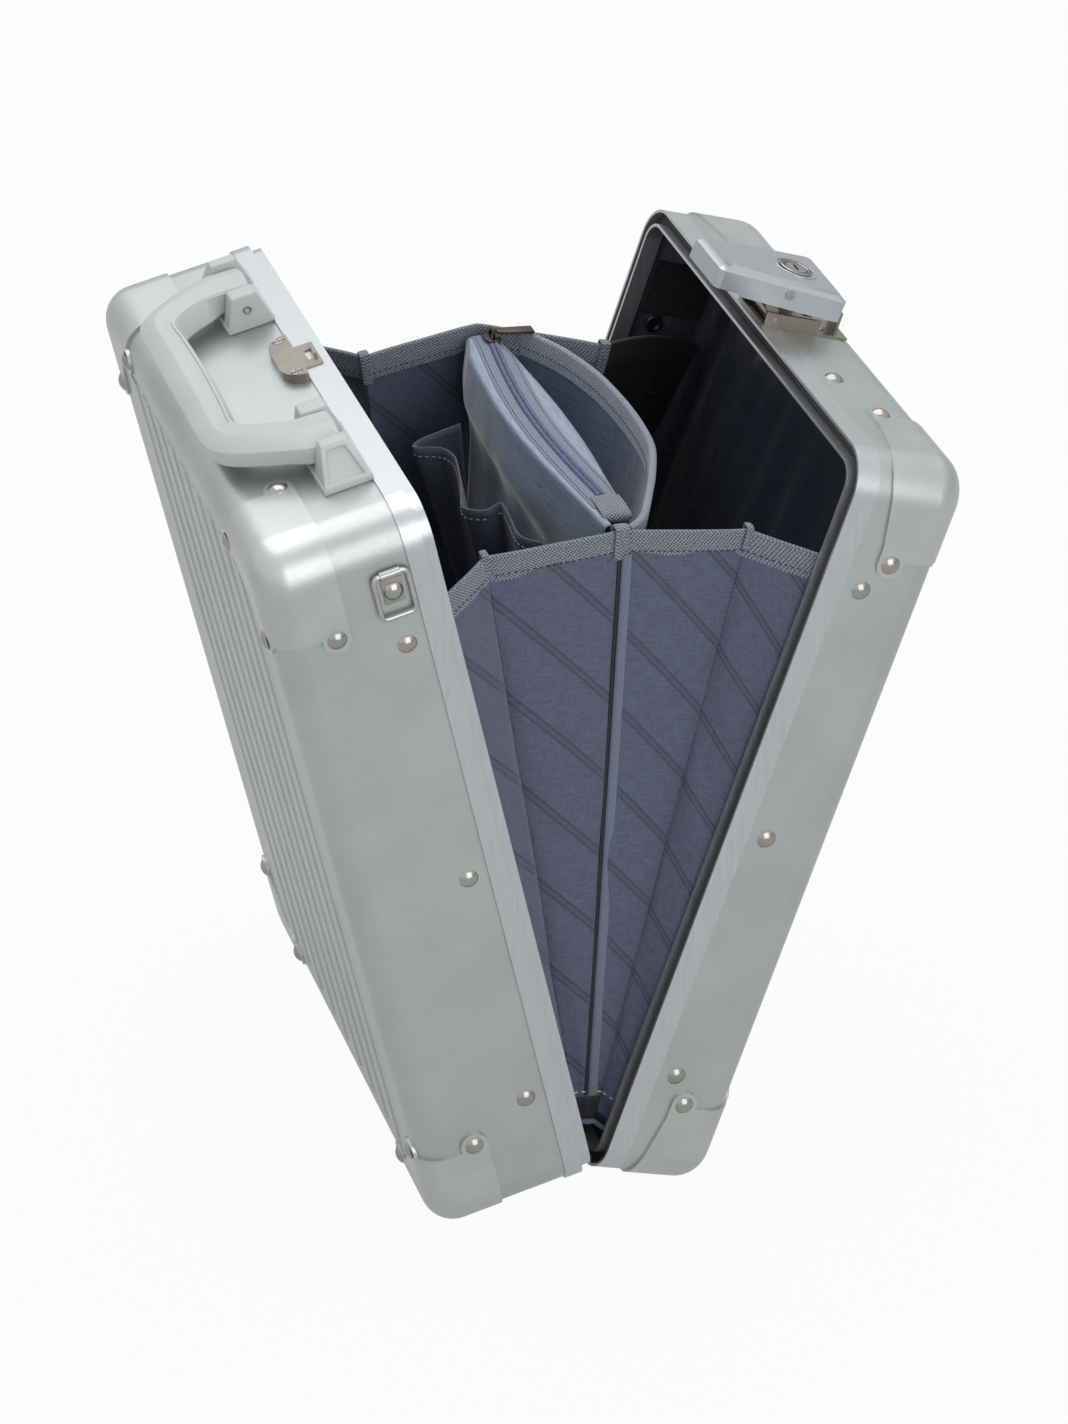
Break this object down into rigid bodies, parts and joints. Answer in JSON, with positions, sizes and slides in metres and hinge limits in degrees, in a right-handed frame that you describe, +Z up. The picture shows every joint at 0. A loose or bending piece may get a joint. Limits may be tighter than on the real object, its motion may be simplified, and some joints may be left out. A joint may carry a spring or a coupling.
{
  "type": "laptop hard case",
  "caption": "Upright aluminium laptop case opened as a V on its hinge side, with a folding carry handle, a draw latch, strap rings and a fabric bag with zipped pouch inside",
  "frame": {"origin": "middle of the footprint of the opened case, on the surface it stands on", "axes": "+Z up; Y along the hinge; the handle half leans to -X and the lock half to +X"},
  "size_m": [0.356, 0.3092, 0.4475],
  "materials": {
    "shell": "satin anodised",
    "frame": "satin anodised",
    "cap": "satin painted",
    "steel": "brushed",
    "nickel": "nickel plated",
    "rivet": "nickel plated",
    "grip_plastic": "fine matt",
    "cover": "metallic satin",
    "seal": "matt",
    "lining": "satin weave",
    "cloth": "satin weave",
    "zip": "coil zip",
    "dark_metal": "gunmetal"
  },
  "bodies": {
    "handle_half": {"handle_shell": "shell", "handle_frame": "frame", "handle_caps": "cap", "handle_rivets": "rivet", "handle_lining": "lining", "bracket_near": "grip_plastic", "bracket_far": "grip_plastic", "handle_pins": "rivet", "strike_plate": "nickel", "strike_screws": "steel", "ring_clips": "nickel", "ring_rivets": "rivet", "hinge_leaf_handle": "steel", "hinge_pins": "steel", "near_gusset": "cloth", "far_gusset": "cloth", "bag_floor": "cloth"},
    "lock_half": {"lock_shell": "shell", "lock_frame": "frame", "frame_seal": "seal", "lock_caps": "cap", "lock_rivets": "rivet", "lock_lining": "lining", "hinge_leaf_lock": "steel", "latch_base": "nickel", "latch_base_rivets": "rivet", "base_pin": "steel"},
    "carry_handle": {"carry_handle": "grip_plastic"},
    "strap_ring_near": {"strap_ring_near": "nickel"},
    "strap_ring_far": {"strap_ring_far": "nickel"},
    "latch_link": {"latch_link": "nickel", "link_pin": "steel"},
    "latch_cover": {"latch_cover": "cover", "draw_hook": "nickel", "key_bezel": "nickel"},
    "key_cylinder": {"key_cylinder": "steel"},
    "divider": {"divider_panel": "cloth", "zip_pouch": "cloth", "zip_tape": "zip", "slack_panel": "cloth", "pen_pocket": "cloth"},
    "zip_slider": {"zip_slider": "dark_metal"},
    "zip_pull": {"zip_pull": "dark_metal"}
  },
  "joints": [
    {"name": "case_hinge", "type": "hinge", "parent": "handle_half", "child": "lock_half", "pos_m": [-0.00749, 0, 0.01213], "axis": [0, 1, 0], "range_deg": [-30.39, 0], "deforming": ["near_gusset", "far_gusset", "bag_floor"]},
    {"name": "divider_swing", "type": "hinge", "parent": "handle_half", "child": "divider", "pos_m": [-0.00749, 0, 0.01213], "axis": [0, 1, 0], "range_deg": [-15.2, 0]},
    {"name": "handle_fold", "type": "hinge", "parent": "handle_half", "child": "carry_handle", "pos_m": [-0.12302, 0, 0.42721], "axis": [0, 1, 0], "range_deg": [0, 90]},
    {"name": "ring_near_swing", "type": "hinge", "parent": "handle_half", "child": "strap_ring_near", "pos_m": [-0.11371, -0.15231, 0.39188], "axis": [-0.9767, 0, -0.2147], "range_deg": [0, 150]},
    {"name": "ring_far_swing", "type": "hinge", "parent": "handle_half", "child": "strap_ring_far", "pos_m": [-0.11371, 0.15231, 0.39188], "axis": [0.9767, 0, 0.2147], "range_deg": [0, 150]},
    {"name": "latch_swing", "type": "hinge", "parent": "lock_half", "child": "latch_link", "pos_m": [0.131, 0.012, 0.41275], "axis": [0, 1, 0], "range_deg": [0, 120]},
    {"name": "cover_tilt", "type": "hinge", "parent": "latch_link", "child": "latch_cover", "pos_m": [0.12787, 0.012, 0.42742], "axis": [0, 1, 0], "range_deg": [-123.31, 0]},
    {"name": "key_turn", "type": "hinge", "parent": "latch_cover", "child": "key_cylinder", "pos_m": [0.14702, 0.012, 0.43112], "axis": [0.3631, 0, 0.9318], "range_deg": [0, 90]},
    {"name": "zip_run", "type": "slide", "parent": "divider", "child": "zip_slider", "axis": [0, -1, 0], "range_m": [0, 0.165]},
    {"name": "pull_swing", "type": "hinge", "parent": "zip_slider", "child": "zip_pull", "pos_m": [0.01559, 0.0945, 0.37603], "axis": [0, 1, 0], "range_deg": [-170, 0]}
  ],
  "couplings": [
    {"joint": "divider_swing", "follows": "case_hinge", "ratio": 0.5},
    {"joint": "cover_tilt", "follows": "latch_swing", "ratio": -1.0275}
  ]
}
